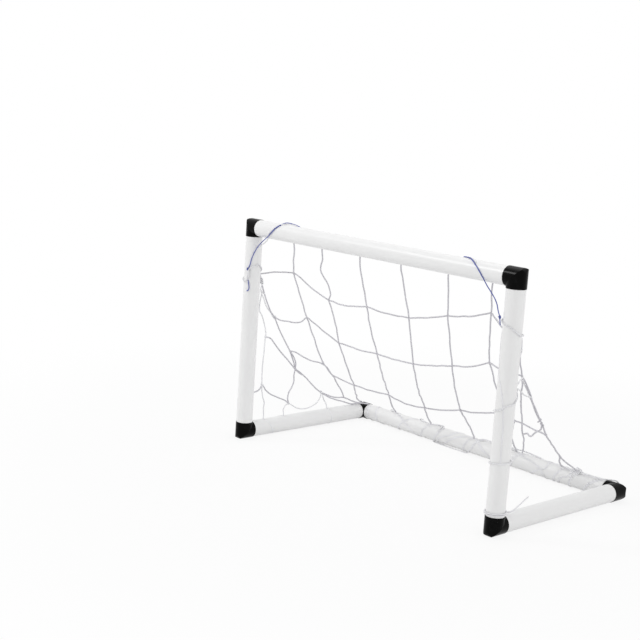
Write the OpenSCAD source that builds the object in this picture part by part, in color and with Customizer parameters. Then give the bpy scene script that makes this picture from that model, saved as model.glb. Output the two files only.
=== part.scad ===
// Small garden goal: plain tubes pushed on moulded corner elbows, with a knotted net
// laced behind the crossbar, down both posts and round the rear bar.
// Stands on the floor at z = 0, centred on x = 0 and y = 0. The mouth faces -y.

/* [Frame] */
// Distance between the centre lines of the two posts
goal_w = 648; // [480:2:900]
// Height of the crossbar's centre line above the base tubes' centre line
goal_h = 405; // [330:1:600]
// Distance from the posts' centre line back to the rear bar's centre line
goal_d = 332; // [260:1:460]
// Outer diameter of all six tubes
tube_d = 32; // [26:0.5:38]
// Wall of the tubes
tube_wall = 1.2; // [1:0.1:2]

/* [Corner elbows] */
// How far an elbow stands proud of its tubes
elbow_over = 0.8; // [0.4:0.1:1.2]
// Straight land between the inside corner and the shoulder that stops a tube
elbow_land = 0.7; // [0.4:0.1:6]
// Radius that rounds the outside corner
corner_round = 8; // [3:0.5:12]
// Edge break on each shoulder
elbow_chamfer = 0.4; // [0.2:0.1:0.8]
// Length of a spigot inside its tube
spigot_len = 28; // [16:1:45]
// Wall of a spigot
spigot_wall = 2; // [1.2:0.1:3]
// Clearance between a spigot's ribs and the tube's bore
spigot_fit = 0.1; // [0.05:0.05:0.4]
// Number of grip ribs round a spigot
rib_count = 8; // [4:1:12]
// Height of a grip rib
rib_h = 0.8; // [0.5:0.1:1.2]
// Width of a grip rib
rib_w = 1.8; // [1:0.1:3]
// Lead-in taper at the end of a spigot
spigot_lead = 1.5; // [0.5:0.1:3]

/* [Net] */
// Thickness of the net's cord
cord_d = 2.4; // [1.4:0.1:2.6]
// Gaps across the net
gaps_across = 7; // [5:1:8]
// Knotted rows between the head cord and the rear bar
net_rows = 3; // [2:1:4]
// How far the net hangs below a straight line from crossbar to rear bar
net_sag = 50; // [20:1:70]
// How much the rows rise towards the posts
row_rise = 0.2; // [0:0.01:0.24]
// How far the net's side edges bow outwards
edge_bow = 16; // [0:1:24]
// Size of a knot over its cord
knot_over = 2.2; // [1.2:0.1:3]
// How far below the crossbar's centre line the net's corners are hung
hang_drop = 92; // [80:1:110]
// Clearance between a cord and what it lies on
seat = 0.3; // [0.2:0.05:0.5]

/* [Lacing] */
// Tight turns round the net's edge below its right corner
coil_turns = 9; // [3:1:10]
// The same below its left corner
coil_turns_left = 4; // [3:1:10]
// Gap between two tight turns
coil_gap = 0.8; // [0.6:0.1:2]
// Length of the loose end at the foot of a post
tail_len = 50; // [20:1:80]

/* [Corner ties] */
// Thickness of the string that ties a top corner
string_d = 1.5; // [0.8:0.1:2]
// Distance from the post at which the string goes over the crossbar
tie_in = 78; // [66:1:100]
// How far below the crossbar's centre line the left string is knotted
tie_drop = 76; // [66:1:76]
// The same at the right corner
tie_drop_right = 63; // [56:1:66]
// Length of the left string's loose end
tie_tail = 44; // [20:1:60]
// Length of the right string's loose end
tie_tail_right = 15; // [10:1:20]

/* [Hidden] */

tube_r = tube_d / 2;
bore_r = tube_r - tube_wall;
elbow_r = tube_r + elbow_over;
reach = elbow_r + elbow_land;          // axis crossing to shoulder
rib_r = bore_r - spigot_fit;
core_r = rib_r - rib_h;
hole_r = core_r - spigot_wall;
base_z = elbow_r;                      // base tubes' centre line above the floor
top_z = base_z + goal_h;
post_x = goal_w / 2;
front_y = -goal_d / 2;
rear_y = goal_d / 2;
cord_r = cord_d / 2;
steps = 12;                            // rings in one turn of a wound cord
lie_r = tube_r + seat + cord_r;        // centre of a cord that lies on a tube
wind_r = lie_r / cos(180 / steps);     // the same, measured to a ring of the turn
head_y = front_y + tube_r + seat + cord_d + seat + cord_r;
string_r = string_d / 2;
over_r = tube_r + seat + string_r + 0.1;

// ---- frame ----

module tube(l) {
    color("whitesmoke") difference() {
        cylinder(h = l, r = tube_r, $fn = 96);
        translate([0, 0, -1]) cylinder(h = l + 2, r = bore_r, $fn = 96);
    }
}

// One leg of an elbow with its spigot, along +z from the axis crossing
module leg() {
    rotate_extrude($fn = 96) polygon([[0, -elbow_r], [elbow_r, -elbow_r],
        [elbow_r, reach - elbow_chamfer], [elbow_r - elbow_chamfer, reach], [core_r, reach],
        [core_r, reach + spigot_len - spigot_lead],
        [core_r - spigot_lead / 2, reach + spigot_len], [0, reach + spigot_len]]);
}

// Grip ribs of one spigot: each stops short of the lead-in
module ribs() {
    intersection() {
        for (k = [0 : rib_count - 1]) rotate(360 * k / rib_count + 180 / rib_count)
            translate([core_r - 0.6, -rib_w / 2, reach])
                cube([rib_h + 0.8, rib_w, spigot_len - 2 * spigot_lead]);
        translate([0, 0, reach - 1]) cylinder(h = spigot_len + 2, r = rib_r, $fn = 96);
    }
}

// Keeps the half of a leg on its own side of the mitre, with the outside corner rounded
module mitre_side() {
    far = reach + spigot_len + 5;
    rotate([90, 0, 0]) translate([0, 0, -elbow_r - 1]) linear_extrude(2 * elbow_r + 2)
        intersection() {
            polygon([[-elbow_r, -elbow_r], [far, far], [-elbow_r, far]]);
            union() {
                translate([-elbow_r, corner_round - elbow_r]) square([2 * far, 2 * far]);
                translate([corner_round - elbow_r, -elbow_r]) square([2 * far, 2 * far]);
                translate([corner_round - elbow_r, corner_round - elbow_r])
                    circle(r = corner_round, $fn = 64);
            }
        }
}

// Two mitred legs, along +z and +x, bored through from end to end
module elbow() {
    color([0.06, 0.06, 0.065]) union() {
        half_elbow();
        mirror([1, 0, -1]) half_elbow();
    }
}

module half_elbow() {
    difference() {
        intersection() { leg(); mitre_side(); }
        intersection() {
            translate([0, 0, -hole_r]) cylinder(h = reach + spigot_len + 40, r = hole_r, $fn = 96);
            rotate([90, 0, 0]) translate([0, 0, -tube_d]) linear_extrude(2 * tube_d)
                polygon([[-hole_r, -hole_r], [200, 200], [-hole_r, 200]]);
        }
    }
    ribs();
}

// ---- cords ----

function unit(v) = v / norm(v);
function mix(a, b, t) = a + (b - a) * t;
function tangent(p, i) = unit(p[min(i + 1, len(p) - 1)] - p[max(i - 1, 0)]);
function square_to(n, t) = unit(n - (n * t) * t);
// One side direction at each point, carried along the route without a twist
function carried(p, n0) = [for (i = 0, n = square_to(n0, tangent(p, 0)); i < len(p);
    i = i + 1, n = i < len(p) ? square_to(n, tangent(p, i)) : n) n];
// A smooth curve through hand-set points, with m steps from each to the next
function smooth(p, m) = concat([for (i = [0 : len(p) - 2], k = [0 : m - 1])
    let (t = k / m, a = p[max(i - 1, 0)], b = p[i], c = p[i + 1], d = p[min(i + 2, len(p) - 1)])
    0.5 * (2 * b + (c - a) * t + (2 * a - 5 * b + 4 * c - d) * t * t
        + (3 * b - a - 3 * c + d) * t * t * t)], [p[len(p) - 1]]);

// Least gap to itself of a cord of radius r wound along p, between points half a turn apart
// or more
function least_gap(p, r) = min([for (i = [0 : len(p) - 2], j = [i + steps / 2 : 1 : len(p) - 1])
    norm(p[i] - p[j])]) - 2 * r;

// A cord swept along the points of p. r is its radius, or a list with a pair for each
// point: half its width along the side direction and half its thickness across it.
// side is the first point's side direction, or a list with one for each point
module cord(p, r, sides = 6, side = [0, 0, 1]) {
    n = is_list(side[0]) ? [for (i = [0 : len(p) - 1]) square_to(side[i], tangent(p, i))]
        : carried(p, side);
    last = (len(p) - 1) * sides;
    pts = [for (i = [0 : len(p) - 1]) let (v = cross(tangent(p, i), n[i]),
        q = is_list(r) ? r[i] : [r, r]) for (k = [0 : sides - 1])
        p[i] + q[0] * cos(360 * k / sides) * n[i] + q[1] * sin(360 * k / sides) * v];
    walls = [for (i = [0 : len(p) - 2], k = [0 : sides - 1], h = [0, 1])
        let (a = i * sides + k, b = i * sides + (k + 1) % sides)
        h == 0 ? [a, a + sides, b + sides] : [a, b + sides, b]];
    ends = [for (k = [1 : sides - 2], h = [0, 1])
        h == 0 ? [0, k, k + 1] : [last, last + k + 1, last + k]];
    polyhedron(pts, concat(walls, ends));
}

// Turns round an upright axis at c, from angle a0 and height z0 to a1 and z1
function turns_z(c, a0, a1, z0, z1) = let (m = max(1, round(abs(a1 - a0) * steps / 360)))
    [for (k = [0 : m]) let (a = mix(a0, a1, k / m))
        [c[0] + wind_r * cos(a), c[1] + wind_r * sin(a), mix(z0, z1, k / m)]];

// Round a base tube the cord is pressed flat between the tube and the floor: 1 straight
// below the tube, where angle a is 270, and 0 from 30 degrees either side
function press(a) = max(0, 1 - pow((((a % 360) + 360) % 360 - 270) / 30, 2));
function floor_r(a) = mix(wind_r, tube_r + elbow_over / 2, press(a));
function floor_half(a) = mix(cord_r, 0.3 * elbow_over, press(a));
// Angles of a winding from a0 to a1, with two more rings where the cord is pressed
function ring_angles(a0, a1) = let (m = round(abs(a1 - a0) * steps / 360), d = (a1 - a0) / m)
    [for (k = [0 : m], h = [0, 1]) let (a = a0 + (k + h / 2) * d)
        if (h == 0 || (k < m && press(a) > 0)) a];

// ---- net ----

// Share of the way along the rear bar at which gap line i meets it: they crowd to the left
function foot_share(i) = 0.012 + 0.93 * pow(i / gaps_across, 2);
bar_in = goal_w - 2 * reach;
function foot_x(i) = -bar_in / 2 + bar_in * foot_share(i);
// How far each upper loop has slipped along the head cord
slip = [0, -14, -24, -20, -12, -4, -14, 0, 0];
function head_x(i) = goal_w * (-0.5 + 1.04 * i / gaps_across) + slip[i];
foot_a = 120;                          // angle round the rear bar at which a foot meets it
knot_r = cord_r * knot_over;
knot_lie = tube_r + seat + 1.2 * knot_r;      // centre of a knot that lies on a tube
head_out = cord_r + seat + 1.2 * knot_r;      // centre of a knot below the head cord
foot_y = rear_y + knot_lie * cos(foot_a);
foot_z = base_z + knot_lie * sin(foot_a);
hang_z = top_z - hang_drop;
hang_y = front_y + knot_lie;

// Downward bow of a line, at the share t of the way from its head to its foot
function bow(t) = sin(180 * pow(t, 1.15));
// A point on the drape between a head and a foot, hung below the straight line
function hung(a, b, t) = let (d = unit([0, b[1] - a[1], b[2] - a[2]]))
    mix(a, b, t) + net_sag * bow(t) * [0, d[2], -d[1]];
function spread(i) = pow(2 * i / gaps_across - 1, 2);
foot = net_rows + 1;                   // number of a line's last knot, on the rear bar
// Line i of the net, counted from the left edge, for t from 0 at its head to 1 at its foot
function line_pt(i, t) =
    let (edge = i == 0 ? -1 : i == gaps_across ? 1 : 0,
         foot = [foot_x(i), foot_y, foot_z],
         head = edge == 0 ? [head_x(i), head_y, top_z - head_out]
                          : [edge * post_x, hang_y, hang_z],
         lean = edge == 0 ? t * (0.45 + 0.55 * t * t * t) : t,
         p = hung(head, foot, t))
    [mix(head[0], foot[0], lean) + edge * edge_bow * sin(180 * t)
        + (edge == 0 ? 5 * sin(137 * i) * sin(360 * t) : 0), p[1], p[2]];
// Share of the way down line i at which row j is knotted
function at_edge(i) = i == 0 || i == gaps_across;
function row_t(i, j) = j == 0 ? 0 : j == foot ? 1 : at_edge(i) ? (j - 1) / (net_rows + 0.84)
    : max(0.1, j / foot - row_rise * spread(i));
// Line i as it is drawn: each span between two knots has this many straight steps
span = 3;
function span_pt(i, j, k) = line_pt(i, mix(row_t(i, j), row_t(i, j + 1), k / span));
// The same line at any share t of its length
function drawn_pt(i, t) = let (j = max([for (q = [0 : net_rows]) if (row_t(i, q) <= t) q]),
    u = min(span * (t - row_t(i, j)) / (row_t(i, j + 1) - row_t(i, j)), span - 0.001),
    k = floor(u)) mix(span_pt(i, j, k), span_pt(i, j, k + 1), u - k);
function knot_pt(i, j) = line_pt(i, row_t(i, j));

// The net is one skin of knots and strands. A knot is [centre, direction along its row,
// direction down its line]: a small block with a six-sided port on each of its four
// sides, port 0 along the row and the rest in turn towards the line's way down
function way(p, q) = unit(q - p);
knots = [for (i = [0 : gaps_across], j = [at_edge(i) ? 1 : 0 : foot]) let (c = knot_pt(i, j),
    down = j == foot ? way(span_pt(i, j - 1, span - 1), c) : way(c, span_pt(i, j, 1)))
    [c, j == foot ? [0, -sin(foot_a), cos(foot_a)]
        : j > 0 ? way(knot_pt(max(i - 1, 0), j), knot_pt(min(i + 1, gaps_across), j))
        : [0, 1, 0], down]];
function knot_no(i, j) = i == 0 ? j - 1 : i * (foot + 1) + j - (i == gaps_across ? 2 : 1);
function normal(k) = unit(cross(k[1], k[2]));
// Corners of a knot: quarter q counted from the row towards the line, level l 0 above,
// 1 at half height and 2 below
function corner(k, q, l) = let (u = q == 0 || q == 3 ? k[1] : -k[1], v = q < 2 ? k[2] : -k[2])
    k[0] + knot_r * (l == 1 ? 0.85 * (u + v) : 0.62 * (u + v) + 0.7 * (1 - l) * normal(k));
// The six corners round a port, in a strand's order as it leaves the knot or arrives at it
function port(h, p, leaves) = let (u = 12 * h + 3 * (leaves ? p : (p + 3) % 4),
    v = 12 * h + 3 * (leaves ? (p + 3) % 4 : p)) [u + 1, u, v, v + 1, v + 2, u + 2];

// A strand is [knot, port, knot, port, points, normals, radii] for the rings between.
// One that runs plainly from knot to knot gets a neck ring next to each
function plain(h, p, g, q, mid) = let (a = knots[h], b = knots[g], m = len(mid),
    n = normal(a), o = normal(b), neck = 2.1 * knot_r,
    pts = concat([a[0] + neck * way(a[0], mid[0])], mid, [b[0] + neck * way(b[0], mid[m - 1])]))
    [h, p, g, q, pts, [for (k = [0 : m + 1]) unit(mix(n, o, (k + 0.5) / (m + 2)))],
        [for (k = pts) [cord_r, cord_r]]];
function inside(p) = [for (k = [1 : len(p) - 2]) p[k]];
// A loop round the point c in the plane of u and v, from the angle a once round
function round_bar(c, u, v, r, a, n) = [for (k = [0 : n]) c + r / cos(180 / n)
    * (cos(a + 360 * k / n) * u + sin(a + 360 * k / n) * v)];

lines = [for (i = [0 : gaps_across], j = [at_edge(i) ? 1 : 0 : net_rows])
    plain(knot_no(i, j), 1, knot_no(i, j + 1), 3, [for (k = [1 : span - 1]) span_pt(i, j, k)])];
// each row droops a little between its knots
rows = [for (j = [1 : net_rows], i = [0 : gaps_across - 1])
    let (a = knot_pt(i, j), b = knot_pt(i + 1, j), d = 3.5 + 2 * sin(97 * i + 60 * j))
    plain(knot_no(i, j), 0, knot_no(i + 1, j), 2, [mix(a, b, 0.33) - [0, 1, d],
        mix(a, b, 0.67) - [0, 1, d - 1]])];
// small loops that hang on the head cord
head_loops = [for (i = [1 : gaps_across - 1]) let (p = inside(round_bar(
    [head_x(i), head_y, top_z], [0, 1, 0], [0, 0, 1], cord_d + seat, -90, 7)))
    [knot_no(i, 0), 0, knot_no(i, 0), 2, p, [for (q = p) [-1, 0, 0]],
        [for (q = p) [cord_r, cord_r]]]];
// loops that hold the two upper corners to the posts: each goes round the post from the
// corner knot's outer side, slants up and comes back down to the knot
loop_climb = 20;
corner_loops = [for (s = [-1, 1]) let (c = [s * post_x, front_y, hang_z], n = 14,
    h = knot_no(s < 0 ? 0 : gaps_across, 1), rise = 2.1 * knot_r,
    p = concat([for (k = [1 : n - 1]) let (a = 90 - s * 360 * k / n)
        c + [lie_r / cos(180 / n) * cos(a), lie_r / cos(180 / n) * sin(a), loop_climb * k / n]],
        [knots[h][0] + [0, 0, loop_climb]], [knots[h][0] + [0, 0, rise]]))
    [h, s < 0 ? 2 : 0, h, 3, p, [for (q = p) unit([q[0] - c[0], q[1] - c[1], 0])],
        [for (q = p) [cord_r, cord_r]]]];
// lower edge, wound once round the rear bar from each foot to the next
wraps = [for (i = [0 : gaps_across - 1]) let (w = inside(ring_angles(foot_a, foot_a + 360)))
    [knot_no(i, foot), 0, knot_no(i + 1, foot), 2,
        [for (a = w) [mix(foot_x(i), foot_x(i + 1), (a - foot_a) / 360),
            rear_y + floor_r(a) * cos(a), base_z + floor_r(a) * sin(a)]],
        [for (a = w) [1, 0, 0]], [for (a = w) [floor_half(a), cord_r]]]];
strands = concat(lines, rows, head_loops, corner_loops, wraps);
echo("net's turns round the rear bar, least gap to themselves in mm",
    min([for (w = wraps) least_gap(w[4], cord_r)]));

module net() {
    first = [for (i = 0, n = 12 * len(knots); i < len(strands);
        n = n + 6 * len(strands[i][4]), i = i + 1) n];
    used = [for (s = strands) each [4 * s[0] + s[1], 4 * s[2] + s[3]]];
    skin = [for (s = strands) let (p = s[4], m = len(p)) for (i = [0 : m - 1])
        let (t = unit((i < m - 1 ? p[i + 1] : knots[s[2]][0]) - (i > 0 ? p[i - 1] : knots[s[0]][0])),
            n = square_to(s[5][i], t), side = cross(n, t))
        for (k = [0 : 5]) p[i] + s[6][i][0] * cos(60 * k) * side + s[6][i][1] * sin(60 * k) * n];
    walls = [for (i = [0 : len(strands) - 1]) let (s = strands[i], m = len(s[4]))
        for (r = [0 : m], k = [0 : 5]) let (
            near = r == 0 ? port(s[0], s[1], true) : [for (q = [0 : 5]) first[i] + 6 * (r - 1) + q],
            far = r == m ? port(s[2], s[3], false) : [for (q = [0 : 5]) first[i] + 6 * r + q],
            n = (k + 1) % 6)
        each [[near[k], far[k], far[n]], [near[k], far[n], near[n]]]];
    tops = [for (h = [0 : len(knots) - 1]) let (o = 12 * h)
        each [[o + 9, o + 6, o + 3], [o + 9, o + 3, o], [o + 2, o + 5, o + 8], [o + 2, o + 8, o + 11]]];
    caps = [for (h = [0 : len(knots) - 1], p = [0 : 3])
        if (len([for (u = used) if (u == 4 * h + p) u]) == 0)
            let (r = port(h, p, true)) for (k = [1 : 4]) [r[0], r[k + 1], r[k]]];
    color([0.93, 0.93, 0.95]) polyhedron(concat([for (h = knots, q = [0 : 3], l = [0 : 2])
        corner(h, q, l)], skin), concat(walls, tops, caps));
}

// Straight cord through the net's upper loops, behind the crossbar
head_half = goal_w / 2 - tie_in - 58;  // it stops where the strings take over
module head_cord() {
    color([0.88, 0.88, 0.9]) translate([-head_half, head_y, top_z]) rotate([0, 90, 0])
        cylinder(h = 2 * head_half, r = cord_r, $fn = 24);
}

// ---- lacing ----

// Half loop round the net's edge at the share t of its length, seen from a point q
function hook(i, t, q, tail = 0) = let (b = drawn_pt(i, t),
    e = unit(drawn_pt(i, t + 0.01) - drawn_pt(i, t - 0.01)),
    s = square_to(b - q, e), o = cross(e, s), r = (cord_d + seat) / cos(22.5))
    concat([for (k = [-2 : 2]) b + r * (cos(45 * k) * s + sin(45 * k) * o)],
        tail > 0 ? [b + r * o - tail * s] : []);

// n tight turns round the net's edge i, a little below its corner
coil_start = 10;                       // distance from the corner to the first turn
edge_len = norm([0, foot_y - hang_y, foot_z - hang_z]);
function tight(i, n) = [for (k = [0 : 8 * n + 4])
    let (t = (coil_start + (cord_d + coil_gap) * k / 8) / edge_len, b = drawn_pt(i, t),
        e = unit(drawn_pt(i, t + 0.01) - drawn_pt(i, t)), s = square_to([0, -1, 0], e),
        r = (cord_d + seat) / cos(22.5), a = 180 + 45 * k)
    b + r * (cos(a) * s + sin(a) * cross(e, s))];
// Where the cord comes back to the post below the tight turns
behind_z = hang_z - coil_start - coil_turns * (cord_d + coil_gap);
turn_1 = base_z + 0.49 * goal_h;       // first single turn round the post
turn_2 = base_z + 0.26 * goal_h;       // second one
turn_3 = base_z + 30;                  // last one, over the front elbow's shoulder

// One cord: tight turns below the corner, out to the net's edge and back twice, down to a
// loose end
post_r = [post_x, front_y];
behind_r = [post_x, front_y + lie_r + 1, 0];
right_route = concat(
    tight(gaps_across, coil_turns),
    [behind_r + [0, 0, behind_z]],
    hook(gaps_across, 0.19, behind_r + [0, 0, behind_z]),
    turns_z(post_r, 60, -270, turn_1, turn_1 - 16),
    hook(gaps_across, 0.575, behind_r + [0, 0, turn_1 - 16]),
    turns_z(post_r, 60, -270, turn_2, turn_2 - 12),
    turns_z(post_r, -300, -690, turn_2 - 20, turn_3),
    [for (k = [1 : 3]) [post_x + wind_r * cos(30) + 2, front_y + wind_r * sin(30)
        + tail_len * k / 3, turn_3 + 4 * k]]);
echo("lacing_right, least gap to itself in mm", least_gap(right_route, cord_r));
module lacing_right() {
    color([0.9, 0.9, 0.92]) cord(right_route, cord_r);
}

// The other side's cord: tight turns below the corner, then along to end on the net's edge
behind_l = [0.37 * tube_r - post_x, front_y + lie_r + 1, hang_z - 30];
left_route = concat(tight(0, coil_turns_left), [behind_l], hook(0, 0.46, behind_l, 16));
echo("lacing_left, least gap to itself in mm", least_gap(left_route, cord_r));
module lacing_left() {
    color([0.9, 0.9, 0.92]) cord(left_route, cord_r);
}

// Slack cord of the left wing: from the net's edge near the post down to the side tube and
// up to the net's edge
slack_z = 0.632 * goal_h;              // height at which it hangs free
slack_y = [0.157 * goal_d, 0.313 * goal_d];   // its turn round the side tube
slack_end = [0.645 * goal_d, 0.67 * goal_d];  // its last turn, nearer the rear
low_a = [30, -300];                    // angles of the first turn, from start to end
end_a = [60, -270];                    // and of the last one
// A point of the wing: inwards in tube radii, back as a share of goal_d, and height
function wing(u, v, w) = [-post_x + u * tube_r, front_y + v * goal_d, base_z + w];
// Turns round the left side tube through the angles given, from y[0] to y[1] behind the post
function turns_y(angles, a, y) = [for (q = angles) [-post_x + floor_r(q) * cos(q),
    front_y + mix(y[0], y[1], (q - a[0]) / (a[1] - a[0])), base_z + floor_r(q) * sin(q)]];

slack_low = ring_angles(low_a[0], low_a[1]);
slack_last = ring_angles(end_a[0], end_a[1]);
slack_from = wing(1.5, 0.452, 1.75 * tube_r);
slack_top = wing(0.5, 0.08, 0.9 * slack_z);
slack_hook = hook(0, 0.13, slack_top, 8);
slack_parts = [[for (k = [len(slack_hook) - 1 : -1 : 0]) slack_hook[k]],
    smooth([wing(0.88, 0.102, 0.84 * slack_z), wing(0.63, 0.127, 0.727 * slack_z),
        wing(0.56, 0.117, 0.656 * slack_z), wing(0.5, 0.13, 0.336 * slack_z),
        wing(0.88, 0.142, 2.4 * tube_r)], 2),
    turns_y(slack_low, low_a, slack_y),
    smooth([wing(1.25, 0.373, 1.62 * tube_r), slack_from], 2),
    hook(0, 0.72, slack_from),
    turns_y(slack_last, end_a, slack_end)];
slack_route = [for (q = slack_parts) each q];
echo("side_cord, least gap to itself in mm", least_gap(slack_route, cord_r));

module side_cord() {
    wound = [false, false, true, false, false, true];
    sides = [[0, 0, 1], [0, 1, 0], [0, 1, 0], [0, 0, 1], unit([0, 0.7, -0.7]), [0, 1, 0]];
    half = [for (k = [0 : 5], q = slack_parts[k]) [cord_r, wound[k]
        ? floor_half(atan2(q[2] - base_z, q[0] + post_x)) : cord_r]];
    color([0.9, 0.9, 0.92]) cord(slack_route, half, 6,
        [for (k = [0 : 5], q = slack_parts[k]) sides[k]]);
}

// ---- corner ties ----

// A point on the crossbar's skin: in from the post, angle 0 in front and 90 on top
function on_bar(u, a, r = over_r) = [post_x - u, front_y - r * cos(a), top_z + r * sin(a)];
// A point on the post's skin: angle 0 faces the mouth and -90 the front, down from the bar
function on_post(a, w, r = over_r) = [post_x - r * cos(a), front_y + r * sin(a), top_z - w];

// String tied to the head cord, over the crossbar and down to a knot at w below it; k is 1
// where it meets the post high up and less where it hangs free for longer, f is how far
// round to the front its knot is, and off is how far the knot hangs off the post
module tie(w, k, f, off, tail) {
    t = tie_in;
    r = over_r + off;
    clear_r = max(r, over_r + cord_d) + 0.8;   // the loose end goes over the net's loop
    route = concat(
        [[post_x - t - 57.6, head_y, top_z], [post_x - t - 54, head_y - 0.2, top_z + 1.5]],
        smooth([for (q = [[49, 150], [42, 120], [30, 98], [14, 80], [2, 56], [-8, 28], [-14, 2],
            [-20, -26]]) on_bar(t + q[0], q[1])], 3),
        smooth([on_post(-18 * f, w - 48 * k, r), on_post(-42 * f, w - 34 * k, r),
            on_post(-60 * f, w - 16 * k, r), on_post(-76 * f, w - 4, r)], 3),
        [on_post(-82 * f, w, r + string_r), on_post(-86 * f, w + 2, r + 2 * string_r)],
        smooth([on_post(-74 * f, w + 5, clear_r), on_post(-66 * f, w + 0.45 * tail, clear_r),
            on_post(-60 * f, w + 0.8 * tail, clear_r), on_post(-72 * f, w + tail, clear_r)], 2));
    n = len(route);
    color([0.45, 0.55, 0.86]) cord(route, [for (i = [0 : n - 1])
        let (q = i == n - 9 || i == n - 8 ? string_r * 2 : string_r) [q, q]], 8);
}

// ---- the goal ----

translate([-bar_in / 2, front_y, top_z]) rotate([0, 90, 0]) tube(bar_in);  // crossbar
translate([-post_x, front_y, base_z + reach]) tube(goal_h - 2 * reach);  // post_left
translate([post_x, front_y, base_z + reach]) tube(goal_h - 2 * reach);  // post_right
translate([-post_x, front_y + reach, base_z]) rotate([-90, 0, 0]) tube(goal_d - 2 * reach);  // side_tube_left
translate([post_x, front_y + reach, base_z]) rotate([-90, 0, 0]) tube(goal_d - 2 * reach);  // side_tube_right
translate([-bar_in / 2, rear_y, base_z]) rotate([0, 90, 0]) tube(bar_in);  // rear_bar
translate([-post_x, front_y, top_z]) rotate([0, 90, 0]) elbow();  // elbow_top_left
translate([post_x, front_y, top_z]) rotate([0, 180, 0]) elbow();  // elbow_top_right
translate([-post_x, front_y, base_z]) rotate(90) elbow();  // elbow_front_left
translate([post_x, front_y, base_z]) rotate(90) elbow();  // elbow_front_right
translate([-post_x, rear_y, base_z]) rotate([90, 0, 0]) elbow();  // elbow_rear_left
translate([post_x, rear_y, base_z]) rotate(180) rotate([-90, 0, 0]) elbow();  // elbow_rear_right
net();
head_cord();
lacing_left();
lacing_right();
side_cord();
mirror([1, 0, 0])  // tie_left
    tie(tie_drop, 1, 1, 0, tie_tail);
tie(tie_drop_right, 0.5, 0.45, 2.5, tie_tail_right);  // tie_right
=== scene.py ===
"""Small football goal with net: white plastic tubes pushed on black corner elbows, with a
knotted net laced behind the crossbar, down the posts and round the rear bar."""
import math
import random

import bpy
import numpy as np
from mathutils import Matrix


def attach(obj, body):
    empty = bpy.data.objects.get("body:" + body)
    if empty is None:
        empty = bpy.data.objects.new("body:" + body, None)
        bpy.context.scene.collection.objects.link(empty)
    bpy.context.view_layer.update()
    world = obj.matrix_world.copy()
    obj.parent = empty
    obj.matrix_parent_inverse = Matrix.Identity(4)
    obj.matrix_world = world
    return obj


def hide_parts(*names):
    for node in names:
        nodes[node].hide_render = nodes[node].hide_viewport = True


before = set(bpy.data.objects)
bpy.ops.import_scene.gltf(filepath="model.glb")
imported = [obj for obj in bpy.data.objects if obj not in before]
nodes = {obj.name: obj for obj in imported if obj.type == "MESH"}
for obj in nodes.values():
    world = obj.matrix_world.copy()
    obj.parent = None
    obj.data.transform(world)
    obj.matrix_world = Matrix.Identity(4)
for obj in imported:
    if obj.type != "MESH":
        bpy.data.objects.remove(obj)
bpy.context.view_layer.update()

# ---- camera ----
# It stands at the right front of the goal, a little above it, and is rolled by a few
# degrees.
camera_data = bpy.data.cameras.new("camera")
camera_data.sensor_width = 36.0
camera_data.lens = 69.62
camera = bpy.data.objects.new("camera", camera_data)
camera.matrix_world = (Matrix.Translation((1.5236, -1.6809, 0.6800))
    @ Matrix.Rotation(math.radians(47.36), 4, "Z")
    @ Matrix.Rotation(math.radians(79.74), 4, "X")
    @ Matrix.Rotation(math.radians(3.716), 4, "Z"))
bpy.context.scene.collection.objects.link(camera)
bpy.context.scene.camera = camera

# ---- tubes ----
# Six plain tubes of white polypropylene, extruded and cut to length. The die leaves faint
# straight lines along each tube, and the surface has a soft, slightly waxy gloss.
TUBE_WHITE = "#ededed"
TUBE_SHADE = "#e8e8e8"
DRAW_LINE = 1.6          # mm between draw lines, wider than real so that they show
CLOUD = 45.5             # mm, size of the faint clouds in the white


def linear(hex_colour):
    """The linear colour of an sRGB hex value."""
    parts = [int(hex_colour[k:k + 2], 16) / 255 for k in (1, 3, 5)]
    return [c / 12.92 if c <= 0.04045 else ((c + 0.055) / 1.055) ** 2.4 for c in parts] + [1]


def add_node(tree, kind, values=None, links=None, **settings):
    """Adds one shader node: its own settings, its unlinked inputs and its links."""
    made = tree.nodes.new("ShaderNode" + kind)
    for name, value in settings.items():
        setattr(made, name, value)
    for name, value in (values or {}).items():
        made.inputs[name].default_value = value
    for name, source in (links or {}).items():
        tree.links.new(source, made.inputs[name])
    return made


def new_material(name):
    """An empty material and its node tree."""
    material = bpy.data.materials.new(name)
    material.use_nodes = True
    material.node_tree.nodes.clear()
    return material, material.node_tree


def extruded_polypropylene(axis):
    """White tube plastic with its draw lines along one axis of the goal."""
    material, tree = new_material("extruded_white_polypropylene_" + axis)
    place = add_node(tree, "TexCoord")
    across = 1000 / DRAW_LINE
    stretch = [across, across, across]
    stretch["xyz".index(axis)] = 6
    run = add_node(tree, "Mapping", {"Scale": stretch}, {"Vector": place.outputs["Object"]})
    lines = add_node(tree, "TexNoise", {"Scale": 1.0, "Detail": 2.0, "Roughness": 0.5},
        {"Vector": run.outputs[0]})
    cloud = add_node(tree, "TexNoise", {"Scale": 1000 / CLOUD, "Detail": 3.0,
        "Roughness": 0.55}, {"Vector": place.outputs["Object"]})
    colour = add_node(tree, "Mix", {6: linear(TUBE_SHADE), 7: linear(TUBE_WHITE)},
        {0: cloud.outputs[0]}, data_type="RGBA")
    gloss = add_node(tree, "MapRange", {"From Min": 0.3, "From Max": 0.7, "To Min": 0.30,
        "To Max": 0.38}, {"Value": cloud.outputs[0]})
    relief = add_node(tree, "Bump", {"Strength": 0.35, "Distance": 0.00006},
        {"Height": lines.outputs[0]})
    skin = add_node(tree, "BsdfPrincipled", {"IOR": 1.49},
        {"Base Color": colour.outputs[2], "Roughness": gloss.outputs[0],
         "Normal": relief.outputs[0]})
    add_node(tree, "OutputMaterial", links={"Surface": skin.outputs[0]})
    return material


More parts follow.
